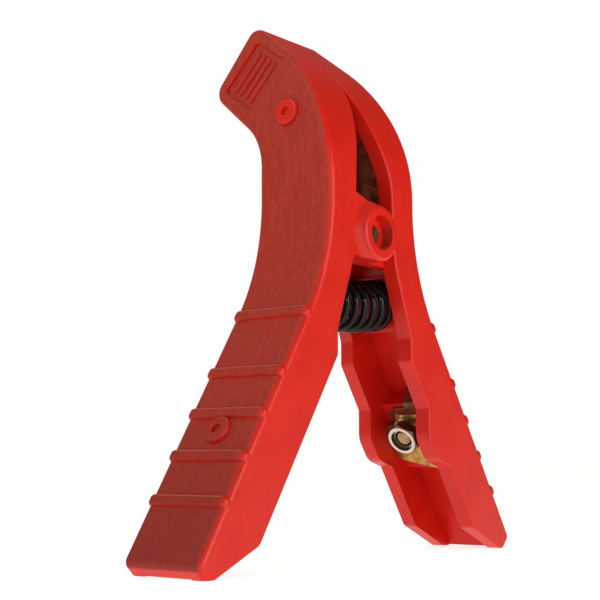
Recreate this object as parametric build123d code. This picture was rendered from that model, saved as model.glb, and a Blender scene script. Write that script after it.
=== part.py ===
from build123d import *
from math import asin, cos, degrees, radians, sin, tan
import os

# Spring clamp with two insulated halves that stand open like an A-frame.
# Everything is drawn with the pivot axis as origin: X is the way the jaws open,
# Y runs along the pivot pin, and Z is up.  The right half (+X) carries the cable terminal,
# and the left half is its mirror image with outer pivot ears.  At the end the whole clamp is
# lifted so that it stands on Z = 0 with the origin at the centre of its footprint.

# ---- driving dimensions, in millimetres and degrees ----
WIDTH = 27.5                 # grip width along the pin
WALL = 5.0                   # side walls
WEB = 4.2                    # broad outer face
JAW_GAP = 0.4                # between the closed plastic rims
SHANK_X = 21.7               # outer face of the straight shank, from the clamp's mid plane
BEND_Z = -9.35               # where grip and shank would meet without the bend radius
BROW_Z = 31.0                # where the shank starts to lean in
GRIP_TILT = 33.1             # grip from vertical
JAW_TILT = 11.5              # jaw back from vertical
BEND_R = 66.0
BROW_R = 130.0
GRIP_LENGTH = 100.4          # from the bend to the heel, along the outer face
FOOT_Z = -96.8               # underside of the foot
FOOT_X = (70.0, 73.2)        # the flat that the clamp stands on
RIDGE_R = 2.2                # rounding of the long outer edges
RIM_R = 0.6                  # rounding of the free edges

PIN_R = 2.75
PIN_CLEARANCE = 0.05
BOSS_R = 8.6
BOSS_PROUD = 2.6
BOSS_SKIRT = 1.7             # bevel around the foot of a boss
COUNTERBORE_R = 5.3
COUNTERBORE_DEPTH = 3.5
OUTER_EAR = 3.8              # ear thickness, left half
INNER_EAR = 3.6              # ear thickness, right half
EAR_GAP = 0.3

SPRING_Z = -20.6             # spring axis in the mid plane, its lowest point
SPRING_BOW_R = 105.0         # the spring bows away from the pivot
SPRING_BOW = 11.0            # tilt of each seat, in degrees
SPRING_OD = 16.4
SPRING_WIRE = 2.3
SPRING_TURNS = 9.5
COIL_POINTS = 12             # points along each turn of the wire
SEAT_HEIGHT = 17.4
SEAT_PEG_R = 5.4
SEAT_PEG_LENGTH = 5.0

RIB_WIDTH = 3.4
RIB_PROUD = 1.25
FIRST_RIB = 19.6             # along the grip from the bend
RIB_STEPS = (0, 20.5, 34.3, 47.9, 61.8)

PANEL = (15.2, 18.6)         # recessed grip panel on the jaw, along and across it
PANEL_CENTRE = (19.1, 50.9)
PANEL_DEPTH = 0.8
JAW_SWEEP = 36.0             # direction of the jaw above horizontal, in front view

STUD_ALONG = 49.5            # terminal stud, along the grip from the bend
STUD_R = 3.0
HEX = 10.0                   # across flats of bolt head and nut
HEAD = 4.0                   # height of the bolt head
PLATFORM = 11.4              # top of the terminal platform, from the outer face
PLATFORM_ENDS = (40.4, 64.8)
PLATE_SHEET = 1.5
PLATE_START = 42.3           # upper end of the plate's tongue
PLATE_SHOULDER = 46.9        # the plate is full width below this
PLATE_ENDS = (59.6, 64.0)    # the lower end is cut at a slant, far side first
TONGUE_Y = 3.2               # far edge of the tongue
LIP_HEIGHT = 1.2
WASHER = 0.8
SPLIT_WASHER = 1.3
NUT = 3.2                    # thin nut
NUT_FACE_R = 4.75            # round face inside the nut's flats
NUT_MOUTH = (3.75, 1.5)      # radius and depth of the recess on its outer side
STUD_SUNK = 1.4              # stud end below the nut's face

PEG_HEAD_R = 4.05
PEG_R = 2.4
PEG_PROUD = 1.2
PEG_LIFT = 0.03              # under the head
GRIP_PEG_ALONG = 59.5
NOSE_PEG = (3.5, 36.2)       # Y and Z of the peg in the jaw

CONTACT = 1.5                # sheet of the jaw contacts
CONTACT_LOW = 13.0           # lower end of a contact
CONTACT_FLANGE = 3.5         # flange height beside the shank
BITE_Z = 46.0                # the toothed flanges stand full height above this
BITE_GAP = 0.7               # between the closed rows of teeth
TOOTH_PITCH = 2.6
TOOTH_DEPTH = 1.3
STRIP = 1.2                  # conductor strip
STRIP_WIDTH = 5.2
STRIP_Y = -2.9
STRIP_DEPTH = 1.6            # outer side of the strip inside the web, from the outer face
STRIP_TOP = 27.0
STRIP_LEAVES = 33.5          # where the strip rises out of the web, along the grip
RIVET_R = 1.25
RIVET_Z = (16.5, 23.0)

FIT = 0.1                    # play around parts that drop into a pocket
FAR = 150.0

tilt = radians(GRIP_TILT)
grip_down = Vector(sin(tilt), 0, -cos(tilt))
grip_in = Vector(-cos(tilt), 0, -sin(tilt))
bend_point = Vector(SHANK_X, 0, BEND_Z)


def on_grip(along, inward, y=0.0):
    """Point of the right grip: along its outer face from the bend, and inward from that face."""
    return bend_point + grip_down * along + grip_in * inward + Vector(0, y, 0)


def grip_plane(along, inward, y=0.0):
    """Plane parallel to the grip's outer face, x down the grip and z inward."""
    return Plane(origin=on_grip(along, inward, y), x_dir=grip_down, z_dir=grip_in)


def flat(point):
    return (point.X, point.Z)


def mirrored(shape):
    return mirror(shape, about=Plane.YZ)


def disc(plane, radius, height, hole=0.0):
    """Round plate, or a ring where it has a hole, standing on a plane."""
    face = Circle(radius)
    if hole:
        face = face - Circle(hole)
    return extrude(plane * face, amount=height)


def across(y, x=0.0, z=0.0):
    """Plane across the pin, facing +Y."""
    return Plane(origin=(x, y, z), x_dir=(1, 0, 0), z_dir=(0, 1, 0))


def slab(points, low_y, high_y):
    """Side-view polygon with thickness from one Y to another."""
    face = make_face(Polyline(*points, close=True))
    return Pos(0, high_y, 0) * extrude(Plane.XZ * face, amount=high_y - low_y)


# ---- outlines ----
def back_points():
    """Outer face of the right half in side view, from above the jaw down to the bend."""
    top = (SHANK_X - (FAR - BROW_Z) * tan(radians(JAW_TILT)), FAR)
    return [top, (SHANK_X, BROW_Z), (SHANK_X, BEND_Z)], [0, BROW_R, BEND_R]


def side_block(points, radii):
    """Side-view outline with rounded corners, extruded right across the clamp."""
    path = FilletPolyline(*points, radius=radii, close=True)
    return extrude(Plane.XZ * make_face(path), amount=FAR, both=True)


def side_region():
    """Whole right half in side view."""
    back, back_radii = back_points()
    heel = flat(on_grip(GRIP_LENGTH, 0))
    foot = [heel, (FOOT_X[1], FOOT_Z), (FOOT_X[0], FOOT_Z), (52.8, -89.3)]
    rim = [(18.5, -37.4), (18.5, -30.0), (9.6, -6.0), (8.9, 18.0), (JAW_GAP / 2, 47.0), (JAW_GAP / 2, FAR)]
    return side_block(back + foot + rim, back_radii + [2.5, 0, 1.5, 3] + [2, 3, 40, 45, 40, 0])


def inner_region(inset):
    """Side-view space on the inner side of the broad face, open towards the other half."""
    back, back_radii = back_points()
    low = on_grip(GRIP_LENGTH + 40, 0)
    path = FilletPolyline(*back, flat(low), (-FAR, low.Z), (-FAR, FAR),
                          radius=back_radii + [0, 0, 0], close=True)
    face = offset(make_face(path), amount=-inset, kind=Kind.INTERSECTION)
    return extrude(Plane.XZ * face, amount=FAR, both=True)


def web_layer(outer, inner):
    """Layer of the right half's broad face, between two depths below its outer surface."""
    right_side = Box(FAR, FAR, FAR * 2, align=(Align.MIN, Align.CENTER, Align.CENTER))
    return (inner_region(outer) - inner_region(inner)) & right_side


def front_region(inset):
    """Front view of a half, a straight grip with the jaw swept to one side, moved in by inset."""
    path = FilletPolyline(
        (-WIDTH / 2, -FAR), (-WIDTH / 2, 40.0), (22.4, 69.3), (36.0, 47.2), (WIDTH / 2, 28.5),
        (WIDTH / 2, -FAR),
        radius=[0, 57, 3.8, 5, 18.2, 0], close=True)
    face = make_face(path)
    if inset:
        face = offset(face, amount=-inset, kind=Kind.INTERSECTION)
    return extrude(Plane.YZ * face, amount=FAR, both=True)


def guard_hump():
    """Raised stretch of the side walls that shields the terminal."""
    points = [(27.8, -50), (27.8, -60.8), (32.6, -67.6), (43, -70.6), (43, -50)]
    return side_block(points, [0, 6, 6, 0, 0]) & front_region(0)


# ---- moulded halves ----
def facing(face, low, high):
    """True for a face of the side view whose outward direction has X between low and high."""
    normal = face.normal_at(face.center())
    return abs(normal.Y) < 0.02 and low < normal.X < high


def is_side(face):
    """True for a face of the front view."""
    return abs(face.normal_at(face.center()).X) < 0.02 and face.center().Z > FOOT_Z + 1


def edges_between(shape, low, high):
    """Edges where faces of the side view meet faces of the front view."""
    ones = [face for face in shape.faces() if facing(face, low, high)]
    sides = [face for face in shape.faces() if is_side(face)]
    edges = []
    for one in ones:
        for edge in one.edges():
            if any(edge.is_same(other) for side in sides for other in side.edges()):
                edges.append(edge)
    return edges


def blank(with_hump):
    """Solid half without its hollow, with rounded ridges and rims."""
    shape = side_region() & front_region(0)
    if with_hump:
        shape = shape + guard_hump()
    shape = shape.solid()
    shape = fillet(edges_between(shape, 0.3, 1.1), RIDGE_R)
    return fillet(edges_between(shape, -1.1, -0.2), RIM_R)


def cavity():
    """Hollow of a half: open on the inner side and at the bottom end."""
    return inner_region(WEB) & front_region(WALL)


def rib(along):
    """Raised bar across the grip that follows its rounded edges."""
    bar = Box(RIB_WIDTH, WIDTH, 6, align=(Align.CENTER, Align.CENTER, Align.MIN))
    bar = fillet(bar.edges().filter_by(Axis.X).group_by(Axis.Z)[0], RIDGE_R)
    bar = fillet(bar.faces().sort_by(Axis.Z)[0].outer_wire().edges(), RIB_WIDTH * 0.35)
    return grip_plane(along, -RIB_PROUD) * bar


def ribs():
    return [rib(FIRST_RIB + step) for step in RIB_STEPS]


def panel():
    """Recess in the jaw's outer face, less the raised bars in it."""
    lean = radians(JAW_TILT)
    outward = Vector(cos(lean), 0, sin(lean))
    y, z = PANEL_CENTRE
    x = SHANK_X - (z - BROW_Z) * tan(lean)
    along = Vector(0, cos(radians(JAW_SWEEP)), sin(radians(JAW_SWEEP)))
    along = (along - outward * along.dot(outward)).normalized()
    floor = Plane(origin=Vector(x, y, z) - outward * PANEL_DEPTH, x_dir=along, z_dir=outward)
    hole = extrude(floor * RectangleRounded(PANEL[0], PANEL[1], 1.2), amount=4)
    bars = [extrude(floor * Pos(shift, 0) * RectangleRounded(1.5, PANEL[1] - 4, 0.7), amount=PANEL_DEPTH * 0.6)
            for shift in (-4.2, -1.4, 1.4, 4.2)]
    for bar in bars:
        hole = hole - bar
    return hole


def spring_axis(angle):
    """Point of the spring's bowed axis, by the angle from the mid plane, and its direction there."""
    turn = radians(angle)
    point = Vector(SPRING_BOW_R * sin(turn), 0, SPRING_Z + SPRING_BOW_R * (1 - cos(turn)))
    return point, Vector(cos(turn), 0, sin(turn))


def spring_seat():
    """Block across the channel with a locating peg for one end of the spring."""
    end, outward = spring_axis(SPRING_BOW)
    pad = Box(WIDTH - WALL, SEAT_HEIGHT, FAR, align=(Align.CENTER, Align.CENTER, Align.MIN))
    peg = disc(Plane(origin=end, z_dir=-outward), SEAT_PEG_R, SEAT_PEG_LENGTH)
    peg = chamfer(peg.faces().sort_by(Axis.X)[0].edges(), 0.8)
    return Plane(origin=end, x_dir=(0, 1, 0), z_dir=outward) * pad + peg


def peg_hole(place):
    return disc(place, PEG_R, PLATFORM)


def grip_peg_place():
    return grip_plane(GRIP_PEG_ALONG, 0)


def brow_place(y, z, depth=0.0):
    """Plane on the curved back of the jaw, facing inward, x up the jaw."""
    above_straight = z - BROW_Z + BROW_R * tan(radians(JAW_TILT / 2))
    lean = asin(max(above_straight, 0) / BROW_R)
    inward = Vector(-cos(lean), 0, -sin(lean))
    x = SHANK_X - BROW_R * (1 - cos(lean))
    return Plane(origin=Vector(x, y, z) + inward * depth, x_dir=(0, 1, 0), z_dir=inward)


def nose_peg_place():
    return brow_place(*NOSE_PEG)


def common_half(with_hump):
    """Right half before its ears and terminal platform."""
    envelope = blank(with_hump)
    shape = envelope - cavity()
    shape = shape + (spring_seat() & envelope)
    for bar in ribs():
        shape = shape + (bar - inner_region(WEB / 2))
    shape = shape - panel()
    return shape - peg_hole(grip_peg_place()) - peg_hole(nose_peg_place())


def platform():
    """Raised floor under the terminal, with a pocket for the bolt head."""
    start, end = PLATFORM_ENDS
    width = WIDTH - 2 * WALL
    block = Box(end - start, width, PLATFORM - WEB / 2, align=(Align.MIN, Align.CENTER, Align.MIN))
    block = grip_plane(start, WEB / 2) * block
    head = grip_plane(STUD_ALONG, PLATFORM - HEAD) * RegularPolygon(HEX / 2 + FIT, 6, major_radius=False)
    return block - extrude(head, amount=PLATFORM)


def inner_ears():
    """Ears of the right half, just inside the left half's ears."""
    outer_y = WIDTH / 2 - OUTER_EAR - EAR_GAP
    inner_y = outer_y - INNER_EAR
    ears = []
    for side in (1, -1):
        low, high = sorted((side * inner_y, side * outer_y))
        boss = disc(across(low), BOSS_R - 0.15, high - low)
        arm = slab([(0, BOSS_R - 0.15), (17.5, 9.0), (20, -9.0), (0, -BOSS_R + 0.15)], low, high)
        ears.append((boss + arm) - disc(across(low), PIN_R + PIN_CLEARANCE, high - low))
    return ears


def outer_ears():
    """Ears of the left half, flush with its side walls, with raised counterbored bosses."""
    face_y = WIDTH / 2
    ears = []
    for side in (1, -1):
        low, high = sorted((side * face_y, side * (face_y - OUTER_EAR)))
        arm = slab([(-13.5, 13.2), (-9.4, 11.4), (0, BOSS_R - 0.3), (0, -BOSS_R + 0.1),
                    (-11.5, -7.4), (-15, -7.4)], low, high)
        tip = across(side * (face_y - OUTER_EAR))
        reach = OUTER_EAR + BOSS_PROUD
        if side < 0:
            tip = Plane(origin=tip.origin, x_dir=(1, 0, 0), z_dir=(0, -1, 0))
        boss = disc(tip, BOSS_R, reach)
        boss = fillet(boss.edges().sort_by(lambda edge: side * edge.center().Y)[-1], 1.4)
        skirt = tip.offset(OUTER_EAR + BOSS_SKIRT / 2) * Cone(BOSS_R + BOSS_SKIRT, BOSS_R, BOSS_SKIRT)
        arm = arm + (skirt & (Pos(0, side * OUTER_EAR, 0) * arm))
        floor = tip.offset(reach - COUNTERBORE_DEPTH)
        ears.append((arm + boss) - disc(floor, COUNTERBORE_R, FAR) - disc(tip, PIN_R, reach))
    return ears


def ear_room():
    """Space swept by the left half's ears, kept clear of the right half."""
    face_y = WIDTH / 2
    inner_y = face_y - OUTER_EAR - EAR_GAP
    room = disc(across(inner_y), BOSS_R + 0.35, FAR)
    return room + disc(across(-FAR), BOSS_R + 0.35, FAR - inner_y)


def strip_lane(play, end):
    """Upright band that the conductor strip runs in, from the jaw to a place along the grip."""
    width = STRIP_WIDTH + 2 * play
    top = STRIP_TOP + play
    lane = Pos(0, STRIP_Y, top - FAR) * Box(2 * FAR, width, 2 * FAR)
    beyond = Box(FAR, FAR, 2 * FAR, align=(Align.MIN, Align.CENTER, Align.CENTER))
    return lane - grip_plane(end, 0) * beyond


def strip_slot():
    """Slot inside the right half's web for the conductor strip, open where the strip rises out."""
    slot = web_layer(STRIP_DEPTH, STRIP_DEPTH + STRIP + FIT) & strip_lane(FIT, STRIP_LEAVES + 2.5)
    way_out = strip_lane(FIT, STRIP_LEAVES + 2.5) - strip_lane(2 * FIT, STRIP_LEAVES - 2)
    return slot + (web_layer(STRIP_DEPTH, WEB + FIT) & way_out)


def right_half():
    shape = common_half(True)
    shape = shape + platform()
    for ear in inner_ears():
        shape = shape + ear
    shape = shape - peg_hole(grip_peg_place())
    for z in RIVET_Z:
        shape = shape - disc(brow_place(STRIP_Y, z, STRIP_DEPTH), RIVET_R + FIT / 2, WEB)
    return (shape - strip_slot() - ear_room()).solid()


def left_half():
    shape = common_half(False)
    for z in RIVET_Z:
        shape = shape - disc(brow_place(STRIP_Y, z, STRIP_DEPTH), RIVET_R + FIT / 2, WEB)
    shape = mirrored(shape)
    for ear in outer_ears():
        shape = shape + ear
    return shape.solid()


# ---- pivot ----
def pivot_pin():
    """Plain pin, pressed into the left half's ears, with chamfered ends."""
    floor_y = WIDTH / 2 + BOSS_PROUD - COUNTERBORE_DEPTH
    pin = disc(across(-floor_y - 0.6), PIN_R, 2 * floor_y + 1.8)
    return chamfer(pin.edges().filter_by(GeomType.CIRCLE), 0.4)


def pivot_retainer():
    """Push-on ring on the far end of the pin, at the bottom of the counterbore."""
    floor_y = WIDTH / 2 + BOSS_PROUD - COUNTERBORE_DEPTH
    ring = disc(across(floor_y), COUNTERBORE_R - 3 * FIT, 0.7, hole=PIN_R)
    for turn in range(0, 360, 60):
        notch = Pos(0, floor_y, 0) * Rot(0, turn, 0) * Pos(PIN_R + 0.4, 0, 0) * Box(1.0, 2, 0.7)
        ring = ring - notch
    return ring.solid()


def pivot_spacer():
    """Tube around the pin that holds the right half's ears apart."""
    half = WIDTH / 2 - OUTER_EAR - EAR_GAP - INNER_EAR - FIT
    return disc(across(-half), 4.2, 2 * half, hole=PIN_R + PIN_CLEARANCE)


def spring():
    """Compression spring between the two seats, bowed like its axis."""
    coil_r = (SPRING_OD - SPRING_WIRE) / 2
    reach = SPRING_BOW - degrees((SPRING_WIRE / 2 + FIT) / SPRING_BOW_R)
    steps = round(SPRING_TURNS * COIL_POINTS)
    points = []
    for step in range(steps + 1):
        middle, along = spring_axis(reach * (2 * step / steps - 1))
        turn = radians(360 * step / COIL_POINTS)
        upward = Vector(-along.Z, 0, along.X)
        points.append(middle + Vector(0, coil_r * cos(turn), 0) + upward * (coil_r * sin(turn)))
    path = Spline(*points)
    section = Plane(origin=path @ 0, z_dir=path % 0) * Circle(SPRING_WIRE / 2)
    return sweep(section, path=path, is_frenet=True)


# ---- jaw contacts ----
def contact_space(sheet):
    """Room inside the jaw's plastic, less one or more sheet thicknesses."""
    return inner_region(WEB + sheet) & front_region(WALL + FIT + sheet)


def teeth():
    """V-shaped cuts across the bite of the right contact."""
    along = Vector(0, cos(radians(JAW_SWEEP)), sin(radians(JAW_SWEEP)))
    across_jaw = Vector(0, -along.Z, along.Y)
    start = Vector(BITE_GAP / 2, 5, BITE_Z)
    cuts = []
    for count in range(13):
        place = Plane(origin=start + along * (TOOTH_PITCH * count), x_dir=along, z_dir=across_jaw)
        wedge = make_face(Polyline((-TOOTH_PITCH / 2, -0.01), (TOOTH_PITCH / 2, -0.01), (0, TOOTH_DEPTH),
                                   close=True))
        side = 1 if place.y_dir.X > 0 else -1
        wedge = scale(wedge, by=(1, side, 1))
        cuts.append(extrude(place * wedge, amount=30, both=True))
    return cuts


def jaw_contact():
    """Folded sheet channel in the right jaw, with toothed flanges at the bite."""
    channel = contact_space(0) - contact_space(CONTACT)
    low = slab([(FAR, CONTACT_LOW), (FAR, FAR), (-FAR, FAR), (-FAR, CONTACT_LOW)], -FAR, FAR)
    bite = slab([(BITE_GAP / 2, BITE_Z), (BITE_GAP / 2, FAR), (FAR, FAR), (FAR, BITE_Z)], -FAR, FAR)
    channel = channel & low & (web_layer(WEB, WEB + CONTACT_FLANGE) + bite)
    for cut in teeth():
        channel = channel - cut
    for z in RIVET_Z:
        channel = channel - disc(brow_place(STRIP_Y, z), RIVET_R + FIT / 2, 10)
    channel = channel - peg_hole(nose_peg_place())
    return channel.solids().sort_by(lambda solid: solid.volume)[-1]


def contact_rivets():
    """Two rivets that join the contact to the conductor strip."""
    pair = []
    for z in RIVET_Z:
        shank = disc(brow_place(STRIP_Y, z, STRIP_DEPTH + 2 * FIT), RIVET_R, WEB + CONTACT - STRIP_DEPTH + FIT)
        head = disc(brow_place(STRIP_Y, z, WEB + CONTACT + FIT), 2.2, 0.9)
        head = fillet(head.faces().sort_by(Axis.X)[0].edges(), 0.5)
        pair.append(shank + head)
    return Compound(pair)


def conductor_strip():
    """Brass strip inside the web that ends as an eye on the terminal platform."""
    body = web_layer(STRIP_DEPTH, STRIP_DEPTH + STRIP) & strip_lane(0, STRIP_LEAVES)
    eye_end = STUD_ALONG + 7.0
    crest = PLATFORM_ENDS[0] - 3 * FIT
    rise = [(STRIP_LEAVES - 1.5, STRIP_DEPTH), (STRIP_LEAVES, STRIP_DEPTH), (crest, PLATFORM),
            (eye_end - 4, PLATFORM), (eye_end - 4, PLATFORM + STRIP), (crest - 0.8, PLATFORM + STRIP),
            (STRIP_LEAVES - 0.8, STRIP_DEPTH + STRIP), (STRIP_LEAVES - 1.5, STRIP_DEPTH + STRIP)]
    ramp = slab([flat(on_grip(along, inward)) for along, inward in rise],
                STRIP_Y - STRIP_WIDTH / 2, STRIP_Y + STRIP_WIDTH / 2)
    start = PLATFORM_ENDS[0] + 1
    eye = Box(eye_end - start, 12.4, STRIP, align=(Align.MIN, Align.CENTER, Align.MIN))
    eye = fillet(eye.edges().filter_by(Axis.Z), 3)
    shape = body + ramp + grip_plane(start, PLATFORM) * eye
    shape = shape - disc(grip_plane(STUD_ALONG, 0), STUD_R + 2 * FIT, FAR)
    for z in RIVET_Z:
        shape = shape - disc(brow_place(STRIP_Y, z), RIVET_R + FIT / 2, 10)
    return shape.solid()


# ---- terminal ----
def stack(thicknesses):
    """Height above the outer face after a number of stacked sheets."""
    return PLATFORM + sum(thicknesses)


def terminal_plate():
    """Plate under the cable lug, with a low lip on its tongue that stops the lug from turning."""
    half = WIDTH / 2 - WALL - 3 * FIT
    far_end, near_end = PLATE_ENDS
    outline = FilletPolyline(
        (PLATE_SHOULDER, -half), (far_end, -half), (near_end, half), (PLATE_START, half),
        (PLATE_START, -TONGUE_Y), (PLATE_SHOULDER, -TONGUE_Y),
        radius=[1.5, 1.5, 1.5, 1.5, 1.5, 1.5], close=True)
    plate = extrude(grip_plane(0, stack([STRIP])) * make_face(outline), amount=PLATE_SHEET)
    lip = Box(PLATE_SHEET, half, PLATE_SHEET + LIP_HEIGHT, align=(Align.MIN, Align.MIN, Align.MIN))
    lip = fillet(lip.faces().sort_by(Axis.Z)[-1].edges().filter_by(Axis.X), 0.9)
    plate = plate + grip_plane(PLATE_START, stack([STRIP])) * Pos(0, -TONGUE_Y + 1.6, 0) * lip
    return plate - disc(grip_plane(STUD_ALONG, 0), STUD_R + 2 * FIT, FAR)


def terminal_washer():
    return disc(grip_plane(STUD_ALONG, stack([STRIP, PLATE_SHEET])), 5.5, WASHER, hole=STUD_R + 2 * FIT)


def terminal_spring_washer():
    """Split ring with a slanted gap."""
    base = grip_plane(STUD_ALONG, stack([STRIP, PLATE_SHEET, WASHER]))
    ring = disc(base, 5.3, SPLIT_WASHER, hole=STUD_R + FIT)
    gap = base * Rot(20, 0, 0) * Pos(4.5, 0, 0) * Box(4, 1.0, 8)
    return ring - gap


def terminal_nut():
    """Hexagon nut, chamfered on both sides."""
    base = grip_plane(STUD_ALONG, stack([STRIP, PLATE_SHEET, WASHER, SPLIT_WASHER]))
    nut = extrude(RegularPolygon(HEX / 2, 6, major_radius=False), amount=NUT)
    corner = HEX / 2 / cos(radians(30)) + 0.05
    slope = (corner - NUT_FACE_R) * tan(radians(30))
    turned = make_face(Polyline((0, 0), (NUT_FACE_R, 0), (corner, slope), (corner, NUT - slope),
                                (NUT_FACE_R, NUT), (0, NUT), close=True))
    nut = nut & revolve(Plane.XZ * turned, axis=Axis.Z)
    bore = Pos(0, 0, NUT / 2) * Cylinder(STUD_R + FIT / 4, NUT)
    mouth_r, depth = NUT_MOUTH
    mouth = Pos(0, 0, NUT - depth / 2) * Cone(mouth_r - 0.4, mouth_r, depth)
    return base * (nut - bore - mouth)


def terminal_bolt():
    """Hexagon bolt whose head is held in the platform's pocket."""
    place = grip_plane(STUD_ALONG, PLATFORM - HEAD)
    head = extrude(place * RegularPolygon(HEX / 2, 6, major_radius=False), amount=HEAD)
    length = stack([STRIP, PLATE_SHEET, WASHER, SPLIT_WASHER, NUT]) - STUD_SUNK - (PLATFORM - HEAD)
    shank = Cylinder(STUD_R, length, align=(Align.CENTER, Align.CENTER, Align.MIN))
    shank = chamfer(shank.faces().sort_by(Axis.Z)[-1].edges(), 0.8)
    return head + place * shank


# ---- fixing pegs ----
def peg(place, length):
    """Push-in peg with a raised round head that has a dimple in it."""
    head = Cylinder(PEG_HEAD_R, PEG_PROUD, align=(Align.CENTER, Align.CENTER, Align.MAX))
    head = fillet(head.faces().sort_by(Axis.Z)[0].edges(), 0.6)
    dimple = Pos(0, 0, -PEG_PROUD) * Cylinder(1.5, 2.0)
    ring = Pos(0, 0, -PEG_PROUD) * Torus(2.6, 0.25)
    shank = Cylinder(PEG_R - FIT, length, align=(Align.CENTER, Align.CENTER, Align.MIN))
    return place.offset(-PEG_LIFT) * (head + shank - dimple - ring)


# ---- the whole clamp ----
def clamp():
    """Every piece by name, still in the pivot's frame."""
    right_contact = jaw_contact()
    nose_peg = peg(nose_peg_place(), WEB + CONTACT + 0.6)
    rivets = contact_rivets()
    return {
        "right_half_shell": right_half(),
        "left_half_shell": left_half(),
        "pivot_pin": pivot_pin(),
        "pivot_retainer": pivot_retainer(),
        "pivot_spacer": pivot_spacer(),
        "spring": spring(),
        "right_jaw_contact": right_contact,
        "left_jaw_contact": mirrored(right_contact),
        "right_contact_rivets": rivets,
        "left_contact_rivets": mirrored(rivets),
        "conductor_strip": conductor_strip(),
        "terminal_plate": terminal_plate(),
        "terminal_washer": terminal_washer(),
        "terminal_spring_washer": terminal_spring_washer(),
        "terminal_nut": terminal_nut(),
        "terminal_bolt": terminal_bolt(),
        "right_nose_peg": nose_peg,
        "left_nose_peg": mirrored(nose_peg),
        "right_grip_peg": peg(grip_peg_place(), PLATFORM - FIT),
        "left_grip_peg": mirrored(peg(grip_peg_place(), WEB + 0.8)),
    }


def main():
    pieces = clamp()
    box = pieces["left_half_shell"].bounding_box()
    stand = Pos(0, -(box.min.Y + box.max.Y) / 2, -FOOT_Z)
    print("pivot axis in the finished frame:", stand.position)
    os.makedirs("parts", exist_ok=True)
    for name, piece in pieces.items():
        export_step(stand * piece, "parts/%s.step" % name)


if __name__ == "__main__":
    main()
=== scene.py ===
import math

import bpy
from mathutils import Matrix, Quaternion, Vector


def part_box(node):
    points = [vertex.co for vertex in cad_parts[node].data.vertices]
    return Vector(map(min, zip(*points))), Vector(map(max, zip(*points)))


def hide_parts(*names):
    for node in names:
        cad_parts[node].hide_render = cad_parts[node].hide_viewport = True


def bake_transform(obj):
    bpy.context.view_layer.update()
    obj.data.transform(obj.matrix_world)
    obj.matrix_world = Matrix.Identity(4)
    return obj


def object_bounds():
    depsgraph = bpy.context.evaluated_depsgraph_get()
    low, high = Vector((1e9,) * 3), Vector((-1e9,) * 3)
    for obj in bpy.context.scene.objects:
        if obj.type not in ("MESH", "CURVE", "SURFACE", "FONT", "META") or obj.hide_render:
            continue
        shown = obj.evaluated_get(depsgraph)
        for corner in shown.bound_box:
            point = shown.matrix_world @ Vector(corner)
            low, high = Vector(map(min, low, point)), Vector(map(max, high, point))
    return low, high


# Looks of the ground clamp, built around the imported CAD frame.  Lengths are in metres.

# ---- camera ----
CAMERA_AZIMUTH = -51.103
CAMERA_ELEVATION = -6.924
CAMERA_ROLL = -0.223
CAMERA_DISTANCE = 0.37654
CAMERA_AIM = Vector((-0.01916, -0.00007, -0.02065))    # from the middle of the pivot
CAMERA_LENS = 77.06                                    # in millimetres, like the sensor
SENSOR = 36.0
NEAREST = 0.01
FURTHEST = 20.0

# ---- surroundings ----
BRIGHT_SIDE = (-0.20, 0.51, 0.84)                      # direction that most of the soft light comes from
WHITE = (1.0, 1.0, 1.0)
WARM_WORLD = (1.0, 0.93, 0.80)
FLOOR_RADIUS = 4.0
FLOOR_SIDES = 24
FLOOR_GAP = 0.0001                                     # from the feet down to the floor

# ---- spring ----
SPRING_WIRE = 0.0023
SPRING_TURNS = 9.5
SPRING_OD = 0.0164
SPRING_BOW = 11.0                                      # tilt of each end, in degrees
GROUND_TURNS = 0.9                                     # closed turns at each end
CLOSED_PITCH = 1.03                                    # rise of a closed turn, in wire thicknesses
END_SUNK = 0.3                                         # wire's end inside the ground face, in the same
SEAT_GAP = 0.0001
TURN_STEPS = 48
WIRE_SIDES = 20

# ---- finish ----
NUT_FACING = (-0.838, 0.0, -0.546)                     # direction that the nut's face points in
SKIN = ((0.66, 0.011, 0.004), (0.72, 0.015, 0.006))    # smooth plastic, two shades
GRAIN_AND_SHADE = ((0.37, 0.018, 0.008), (0.48, 0.028, 0.013))   # eroded plastic, two tones, darkened partly by painted shade
HEEL_PAINTED_SHADE = (0.17, 0.012, 0.006)                         # painted shade on the eroded plastic near the heel
TOP_PAINTED_HIGHLIGHT = (0.66, 0.19, 0.13)                           # painted highlight on eroded plastic that faces upwards
HEEL_SHADE_FADES_AT = 0.06                                      # height at which the painted shade of the heel has faded out
COATING = ((0.002, 0.002, 0.002), (0.005, 0.005, 0.005))
BRASS = ((0.56, 0.31, 0.09), (0.30, 0.14, 0.04))       # a metal's clean shade and its tarnished one
# darker, redder brass for the pieces in the throat: painted shade and painted red reflection
THROAT_BRASS_SHADE = ((0.30, 0.11, 0.07), (0.15, 0.05, 0.035))
BRIGHT_ZINC = ((0.60, 0.58, 0.54), (0.34, 0.30, 0.26))
YELLOW_ZINC = ((0.40, 0.28, 0.15), (0.22, 0.14, 0.07))
NUT_FACE_TONES = ((0.74, 0.70, 0.64), (0.56, 0.52, 0.46))    # two tones of the nut's bright face
NUT_PAINTED_SHADE = ((0.10, 0.065, 0.045), (0.26, 0.19, 0.14))  # painted shade on its flats and in its recess, two tones
ROLLED = (1.0, 0.2, 1.0)                               # stretch of the scratches on rolled sheet
SCRATCH_SCALE = 2600.0
SCRATCH_DEPTH = 0.00002
PEEL_DEPTH = 0.00006
ETCH_DEPTH = 0.00007

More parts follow.
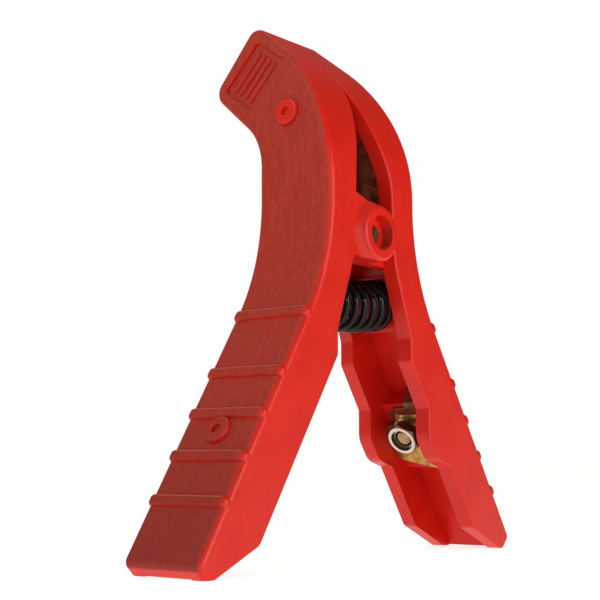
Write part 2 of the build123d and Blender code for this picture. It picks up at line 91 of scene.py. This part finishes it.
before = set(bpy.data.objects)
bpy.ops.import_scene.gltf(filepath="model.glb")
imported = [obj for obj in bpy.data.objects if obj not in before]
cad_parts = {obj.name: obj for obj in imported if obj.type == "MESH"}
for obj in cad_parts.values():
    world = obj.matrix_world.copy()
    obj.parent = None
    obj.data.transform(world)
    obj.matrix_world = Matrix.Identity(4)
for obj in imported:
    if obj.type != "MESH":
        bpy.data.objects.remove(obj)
cad_low, cad_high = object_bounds()
middle = (cad_low + cad_high) / 2
pivot = sum(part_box("pivot_spacer"), Vector()) / 2


# ---- node helpers ----
def put(tree, socket, value):
    """Sets a socket to a value, or links it to another node's output."""
    if isinstance(value, bpy.types.NodeSocket):
        tree.links.new(value, socket)
    else:
        socket.default_value = value


def calc(tree, operation, *values):
    """Result of a maths operation on values or other nodes' outputs."""
    node = tree.nodes.new("ShaderNodeMath")
    node.operation = operation
    for socket, value in zip(node.inputs, values):
        put(tree, socket, value)
    return node.outputs[0]


def ramp(tree, value, start, end, low=0.0, high=1.0):
    """Smooth step from low to high as value goes from start to end."""
    node = tree.nodes.new("ShaderNodeMapRange")
    node.interpolation_type = "SMOOTHSTEP"
    settings = {"Value": value, "From Min": start, "From Max": end, "To Min": low, "To Max": high}
    for name, given in settings.items():
        put(tree, node.inputs[name], given)
    return node.outputs[0]


def noise(tree, where, scale, detail=2.0, roughness=0.5):
    node = tree.nodes.new("ShaderNodeTexNoise")
    put(tree, node.inputs["Vector"], where)
    node.inputs["Scale"].default_value = scale
    node.inputs["Detail"].default_value = detail
    node.inputs["Roughness"].default_value = roughness
    return node.outputs[0]


def stretched(tree, where, x, y, z):
    """Coordinates scaled by different amounts along each axis."""
    node = tree.nodes.new("ShaderNodeMapping")
    put(tree, node.inputs["Vector"], where)
    node.inputs["Scale"].default_value = (x, y, z)
    return node.outputs[0]


def opaque(colour):
    """A colour given as a tuple with its alpha added, or another node's output as it is."""
    if isinstance(colour, tuple):
        return colour + (1.0,)
    return colour


def mixed(tree, factor, first, second):
    """Colour that goes from first to second as factor goes from 0 to 1."""
    node = tree.nodes.new("ShaderNodeMix")
    node.data_type = "RGBA"
    put(tree, node.inputs["Factor"], factor)
    put(tree, node.inputs["A"], opaque(first))
    put(tree, node.inputs["B"], opaque(second))
    return node.outputs["Result"]


def towards(tree, vector, direction):
    """How far a unit vector points along a fixed direction, from -1 to 1."""
    node = tree.nodes.new("ShaderNodeVectorMath")
    node.operation = "DOT_PRODUCT"
    put(tree, node.inputs[0], vector)
    node.inputs[1].default_value = direction
    return node.outputs["Value"]


def parts_of(tree, vector):
    """X, Y and Z of a vector."""
    node = tree.nodes.new("ShaderNodeSeparateXYZ")
    put(tree, node.inputs[0], vector)
    return node.outputs


def seen_by_camera(tree):
    """1 for rays from the camera, 0 for the light that reaches other surfaces."""
    return tree.nodes.new("ShaderNodeLightPath").outputs["Is Camera Ray"]


def bump(tree, height, distance, normal=None):
    node = tree.nodes.new("ShaderNodeBump")
    node.inputs["Distance"].default_value = distance
    put(tree, node.inputs["Height"], height)
    if normal is not None:
        put(tree, node.inputs["Normal"], normal)
    return node.outputs[0]


def blank_material(name):
    """A material, its node tree, its shader and its coordinates."""
    material = bpy.data.materials.new(name)
    material.use_nodes = True
    tree = material.node_tree
    place = tree.nodes.new("ShaderNodeTexCoord")
    return material, tree, tree.nodes["Principled BSDF"], place


def finish_shader(tree, shader, colour, roughness, normal, **settings):
    put(tree, shader.inputs["Base Color"], colour)
    put(tree, shader.inputs["Roughness"], roughness)
    put(tree, shader.inputs["Normal"], normal)
    for name, value in settings.items():
        shader.inputs[name].default_value = value


# ---- materials ----
def red_plastic(name, outward):
    """Moulded plastic: spark-eroded texture on the broad outer face, smooth ridges, rims and sides; the
    texture's darker colour is partly painted shade.

    outward is the direction of the broad face along X, or 0 for a piece that is smooth all over.
    """
    material, tree, shader, place = blank_material(name)
    where = place.outputs["Object"]
    nx, ny, nz = parts_of(tree, place.outputs["Normal"])
    facing = ramp(tree, calc(tree, "ABSOLUTE", ny), 0.35, 0.9, 1.0, 0.0)
    outside = ramp(tree, calc(tree, "MULTIPLY", nx, outward), 0.3, 0.6)
    upper = ramp(tree, nz, -0.70, -0.40)
    # Where this mask reaches, ridge fillets included, the darker colour is partly eroded texture and partly
    # painted shade of the broad faces.
    grain_and_shade = calc(tree, "MULTIPLY", calc(tree, "MULTIPLY", facing, outside), upper)

    cloud = noise(tree, where, 110.0, 3.0)
    mottle = noise(tree, where, 900.0, 3.0, 0.6)
    streak = noise(tree, stretched(tree, where, 1.0, 1.0, 0.12), 700.0, 2.0)
    fine = noise(tree, where, 4200.0, 2.0, 0.7)

    smooth_red = mixed(tree, ramp(tree, cloud, 0.3, 0.7), *SKIN)
    worn = calc(tree, "ADD", calc(tree, "MULTIPLY", mottle, 0.6), calc(tree, "MULTIPLY", streak, 0.4))
    grain_and_shade_red = mixed(tree, ramp(tree, worn, 0.35, 0.65), *GRAIN_AND_SHADE)
    height = parts_of(tree, where)[2]
    # Painted shade darkens the heel and fades out upwards; a painted highlight lightens the eroded texture
    # where it faces upwards.
    heel_shade = ramp(tree, height, 0.0, HEEL_SHADE_FADES_AT, 0.45, 0.0)
    grain_and_shade_red = mixed(tree, heel_shade, grain_and_shade_red, HEEL_PAINTED_SHADE)
    # Painted highlight: lighter colour where the eroded texture faces upwards.
    top_highlight = calc(tree, "MULTIPLY", ramp(tree, nz, 0.64, 0.82), 0.7)
    grain_and_shade_red = mixed(tree, top_highlight, grain_and_shade_red, TOP_PAINTED_HIGHLIGHT)
    colour = mixed(tree, grain_and_shade, smooth_red, grain_and_shade_red)

    gloss = calc(tree, "ADD", calc(tree, "MULTIPLY", mottle, 0.12), 0.30)
    matte = calc(tree, "ADD", calc(tree, "MULTIPLY", fine, 0.2), 0.48)
    roughness = tree.nodes.new("ShaderNodeMix")
    put(tree, roughness.inputs["Factor"], grain_and_shade)
    put(tree, roughness.inputs["A"], gloss)
    put(tree, roughness.inputs["B"], matte)

    peel = bump(tree, noise(tree, where, 420.0, 2.0), PEEL_DEPTH)
    etched = calc(tree, "MULTIPLY", calc(tree, "ADD", fine, calc(tree, "MULTIPLY", mottle, 0.6)), grain_and_shade)
    normal = bump(tree, etched, ETCH_DEPTH, peel)
    finish_shader(tree, shader, colour, roughness.outputs["Result"], normal, IOR=1.42)
    return material


def black_coating():
    """Glossy black coating of the spring."""
    material, tree, shader, place = blank_material("black_coating")
    where = place.outputs["Object"]
    colour = mixed(tree, noise(tree, where, 300.0), *COATING)
    roughness = ramp(tree, noise(tree, where, 700.0, 3.0), 0.3, 0.8, 0.07, 0.14)
    normal = bump(tree, noise(tree, where, 1500.0, 2.0), SCRATCH_DEPTH)
    finish_shader(tree, shader, colour, roughness, normal, IOR=1.33)
    return material


def metal(name, shades, smooth, rough, stretch=(1.0, 1.0, 1.0)):
    """Bare or plated metal: tarnish in clouds, and fine scratches that stretch can make longer one way."""
    material, tree, shader, place = blank_material(name)
    where = place.outputs["Object"]
    tarnish = ramp(tree, noise(tree, where, 320.0, 4.0, 0.6), 0.4, 0.7)
    colour = mixed(tree, tarnish, *shades)
    scratch = noise(tree, stretched(tree, where, *stretch), SCRATCH_SCALE, 3.0, 0.7)
    roughness = ramp(tree, calc(tree, "ADD", tarnish, scratch), 0.4, 1.6, smooth, rough)
    normal = bump(tree, scratch, SCRATCH_DEPTH)
    finish_shader(tree, shader, colour, roughness, normal, Metallic=1.0)
    return material


def zinc_with_painted_shade():
    """Zinc plate that is bright on the nut's face, with painted shade on its flats and in its recess."""
    material, tree, shader, place = blank_material("zinc_with_painted_shade")
    where = place.outputs["Object"]
    # Painted shade: the flats and the recess are dark, and only the face that points along NUT_FACING is
    # bright.
    face = ramp(tree, towards(tree, place.outputs["Normal"], NUT_FACING), 0.90, 0.98)
    nut_shade = mixed(tree, noise(tree, where, 900.0, 3.0), *NUT_PAINTED_SHADE)
    bright = mixed(tree, noise(tree, where, 600.0, 3.0), *NUT_FACE_TONES)
    scratch = noise(tree, where, SCRATCH_SCALE, 3.0, 0.7)
    rubbed = calc(tree, "SUBTRACT", scratch, calc(tree, "MULTIPLY", face, 0.4))
    roughness = ramp(tree, rubbed, 0.0, 0.8, 0.18, 0.40)
    normal = bump(tree, scratch, SCRATCH_DEPTH)
    finish_shader(tree, shader, mixed(tree, face, nut_shade, bright), roughness, normal, Metallic=1.0)
    return material


def floor_paint():
    """White floor that gives a little light of its own, and looks brighter to the camera than it lights."""
    material, tree, shader, place = blank_material("floor_paint")
    where = place.outputs["Object"]
    colour = mixed(tree, noise(tree, where, 6.0), (0.86, 0.86, 0.86), (0.88, 0.88, 0.88))
    normal = bump(tree, noise(tree, where, 500.0, 2.0), SCRATCH_DEPTH)
    shader.inputs["Emission Color"].default_value = opaque(WHITE)
    seen = seen_by_camera(tree)
    put(tree, shader.inputs["Emission Strength"], ramp(tree, seen, 0.0, 1.0, 0.60, 0.80))
    finish_shader(tree, shader, colour, 0.7, normal, IOR=1.3)
    return material


# ---- spring ----
def tube(name, centres, radius, sides):
    """Round wire along a line of points, with closed ends."""
    vertices = []
    faces = []
    side = Vector((0, 0, 1))
    for index, centre in enumerate(centres):
        before = centres[max(index - 1, 0)]
        after = centres[min(index + 1, len(centres) - 1)]
        along = (after - before).normalized()
        side = (side - along * side.dot(along)).normalized()
        other = along.cross(side)
        for step in range(sides):
            turn = 2 * math.pi * step / sides
            vertices.append(centre + side * (radius * math.cos(turn)) + other * (radius * math.sin(turn)))
    for ring in range(len(centres) - 1):
        for step in range(sides):
            a = ring * sides + step
            b = ring * sides + (step + 1) % sides
            faces.append((a, b, b + sides, a + sides))
    faces.append(tuple(reversed(range(sides))))
    faces.append(tuple(range(len(vertices) - sides, len(vertices))))
    mesh = bpy.data.meshes.new(name)
    mesh.from_pydata(vertices, [], faces)
    mesh.update()
    return mesh


def spring_line(low, high):
    """Radius of the spring's bowed axis, and the height of the axis where it is lowest."""
    reach = (high.x - low.x) / 2 + SEAT_GAP
    return reach / math.sin(math.radians(SPRING_BOW)), low.z + SPRING_OD / 2


def make_spring():
    """Compression spring with closed ends that are ground flat, bowed away from the pivot."""
    low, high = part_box("spring")
    centre = (low + high) / 2
    coil = (SPRING_OD - SPRING_WIRE) / 2
    bow, lowest = spring_line(low, high)
    length = 2 * bow * math.radians(SPRING_BOW) - 2 * SEAT_GAP
    active = SPRING_TURNS - 2 * GROUND_TURNS
    closed = GROUND_TURNS * SPRING_WIRE * CLOSED_PITCH
    start = -length / 2 + SPRING_WIRE * END_SUNK
    run = -2 * start - 2 * closed
    centres = []
    for index in range(int(SPRING_TURNS * TURN_STEPS) + 1):
        turn = index / TURN_STEPS
        if turn < GROUND_TURNS:
            x = start + closed * turn / GROUND_TURNS
        elif turn > SPRING_TURNS - GROUND_TURNS:
            x = -start - closed * (SPRING_TURNS - turn) / GROUND_TURNS
        else:
            x = start + closed + run * (turn - GROUND_TURNS) / active
        angle = 2 * math.pi * turn
        centres.append(Vector((x, coil * math.cos(angle), coil * math.sin(angle))))
    mesh = tube("spring_coil", centres, SPRING_WIRE / 2, WIRE_SIDES)
    for vertex in mesh.vertices:
        reached = min(max(vertex.co.x, -length / 2), length / 2)
        bent = reached / bow
        inner = bow - vertex.co.z
        vertex.co = Vector((inner * math.sin(bent), vertex.co.y, bow - inner * math.cos(bent)))
        vertex.co += Vector((centre.x, centre.y, lowest))
    for polygon in mesh.polygons:
        polygon.use_smooth = len(polygon.vertices) == 4
    spring = bpy.data.objects.new("spring_coil", mesh)
    bpy.context.scene.collection.objects.link(spring)
    spring.data.materials.append(black_coating())
    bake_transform(spring)
    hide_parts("spring")


# ---- materials on the CAD pieces ----
def dress(names, material):
    """Gives CAD pieces one material."""
    for name in names:
        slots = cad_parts[name].data.materials
        slots.clear()
        slots.append(material)


def dress_all():
    left = red_plastic("red_plastic_left", -1.0)
    right = red_plastic("red_plastic_right", 1.0)
    smooth = red_plastic("red_plastic_pegs", 0.0)
    dress(["left_half_shell", "left_grip_peg"], left)
    dress(["right_half_shell", "right_grip_peg"], right)
    dress(["left_nose_peg", "right_nose_peg"], smooth)
    brass = metal("brass", BRASS, 0.24, 0.44, ROLLED)
    dress(["terminal_plate"], brass)
    # The jaw contacts, their rivets and the strip sit in the throat and get brass with painted shade.
    throat_brass = metal("brass_with_painted_shade", THROAT_BRASS_SHADE, 0.35, 0.55, ROLLED)
    dress(["right_jaw_contact", "left_jaw_contact", "right_contact_rivets", "left_contact_rivets",
           "conductor_strip"], throat_brass)
    zinc = metal("bright_zinc", BRIGHT_ZINC, 0.18, 0.36)
    dress(["terminal_washer", "terminal_spring_washer"], zinc)
    dress(["terminal_nut"], zinc_with_painted_shade())
    yellow = metal("yellow_zinc", YELLOW_ZINC, 0.22, 0.42)
    dress(["pivot_pin", "pivot_retainer", "pivot_spacer", "terminal_bolt"], yellow)


# ---- studio ----
def make_floor():
    """Round floor just under the feet."""
    vertices = []
    for corner in range(FLOOR_SIDES):
        turn = 2 * math.pi * corner / FLOOR_SIDES
        x = FLOOR_RADIUS * math.cos(turn)
        y = FLOOR_RADIUS * math.sin(turn)
        vertices.append((x, y, cad_low.z - FLOOR_GAP))
    mesh = bpy.data.meshes.new("floor")
    mesh.from_pydata(vertices, [], [tuple(range(FLOOR_SIDES))])
    floor = bpy.data.objects.new("floor", mesh)
    bpy.context.scene.collection.objects.link(floor)
    floor.data.materials.append(floor_paint())


def soft_light(name, place, size, power, colour):
    """Square lamp that points at the middle of the clamp."""
    light = bpy.data.lights.new(name, "AREA")
    light.shape = "RECTANGLE"
    light.size = size
    light.size_y = size
    light.energy = power
    light.color = colour
    lamp = bpy.data.objects.new(name, light)
    lamp.location = place
    lamp.rotation_mode = "QUATERNION"
    lamp.rotation_quaternion = (middle - Vector(place)).to_track_quat("-Z", "Y")
    bpy.context.scene.collection.objects.link(lamp)


def make_world():
    """Studio surroundings: lit from above and behind the clamp, and plain white to the camera."""
    world = bpy.data.worlds.new("studio")
    world.use_nodes = True
    bpy.context.scene.world = world
    tree = world.node_tree
    direction = tree.nodes.new("ShaderNodeTexCoord").outputs["Generated"]
    lighting = ramp(tree, towards(tree, direction, BRIGHT_SIDE), 0.3, 1.0, 0.08, 0.48)
    seen = seen_by_camera(tree)
    background = tree.nodes["Background"]
    put(tree, background.inputs["Color"], mixed(tree, seen, WARM_WORLD, WHITE))
    put(tree, background.inputs["Strength"], calc(tree, "MAXIMUM", lighting, seen))


def make_lights():
    soft_light("key", place=(0.10, -0.78, 0.20), size=0.35, power=2.35, colour=(1.0, 0.90, 0.76))
    soft_light("front", place=(-0.28, -0.30, 0.13), size=0.03, power=0.17, colour=(1.0, 0.96, 0.90))
    soft_light("left", place=(-0.34, 0.02, 0.45), size=0.25, power=0.70, colour=(1.0, 0.93, 0.80))


def make_camera():
    """The photograph's viewpoint, low on the left half's side."""
    azimuth = math.radians(CAMERA_AZIMUTH)
    elevation = math.radians(CAMERA_ELEVATION)
    back = Vector((math.sin(azimuth) * math.cos(elevation), -math.cos(azimuth) * math.cos(elevation),
                   math.sin(elevation)))
    data = bpy.data.cameras.new("camera")
    data.lens = CAMERA_LENS
    data.sensor_width = SENSOR
    data.clip_start = NEAREST
    data.clip_end = FURTHEST
    camera = bpy.data.objects.new("camera", data)
    camera.location = pivot + CAMERA_AIM + back * CAMERA_DISTANCE
    camera.rotation_mode = "QUATERNION"
    roll = Quaternion((0, 0, 1), math.radians(CAMERA_ROLL))
    camera.rotation_quaternion = (-back).to_track_quat("-Z", "Y") @ roll
    bpy.context.scene.collection.objects.link(camera)
    bpy.context.scene.camera = camera


bpy.context.scene.view_settings.view_transform = "Standard"
make_camera()
dress_all()
make_spring()
make_floor()
make_world()
make_lights()
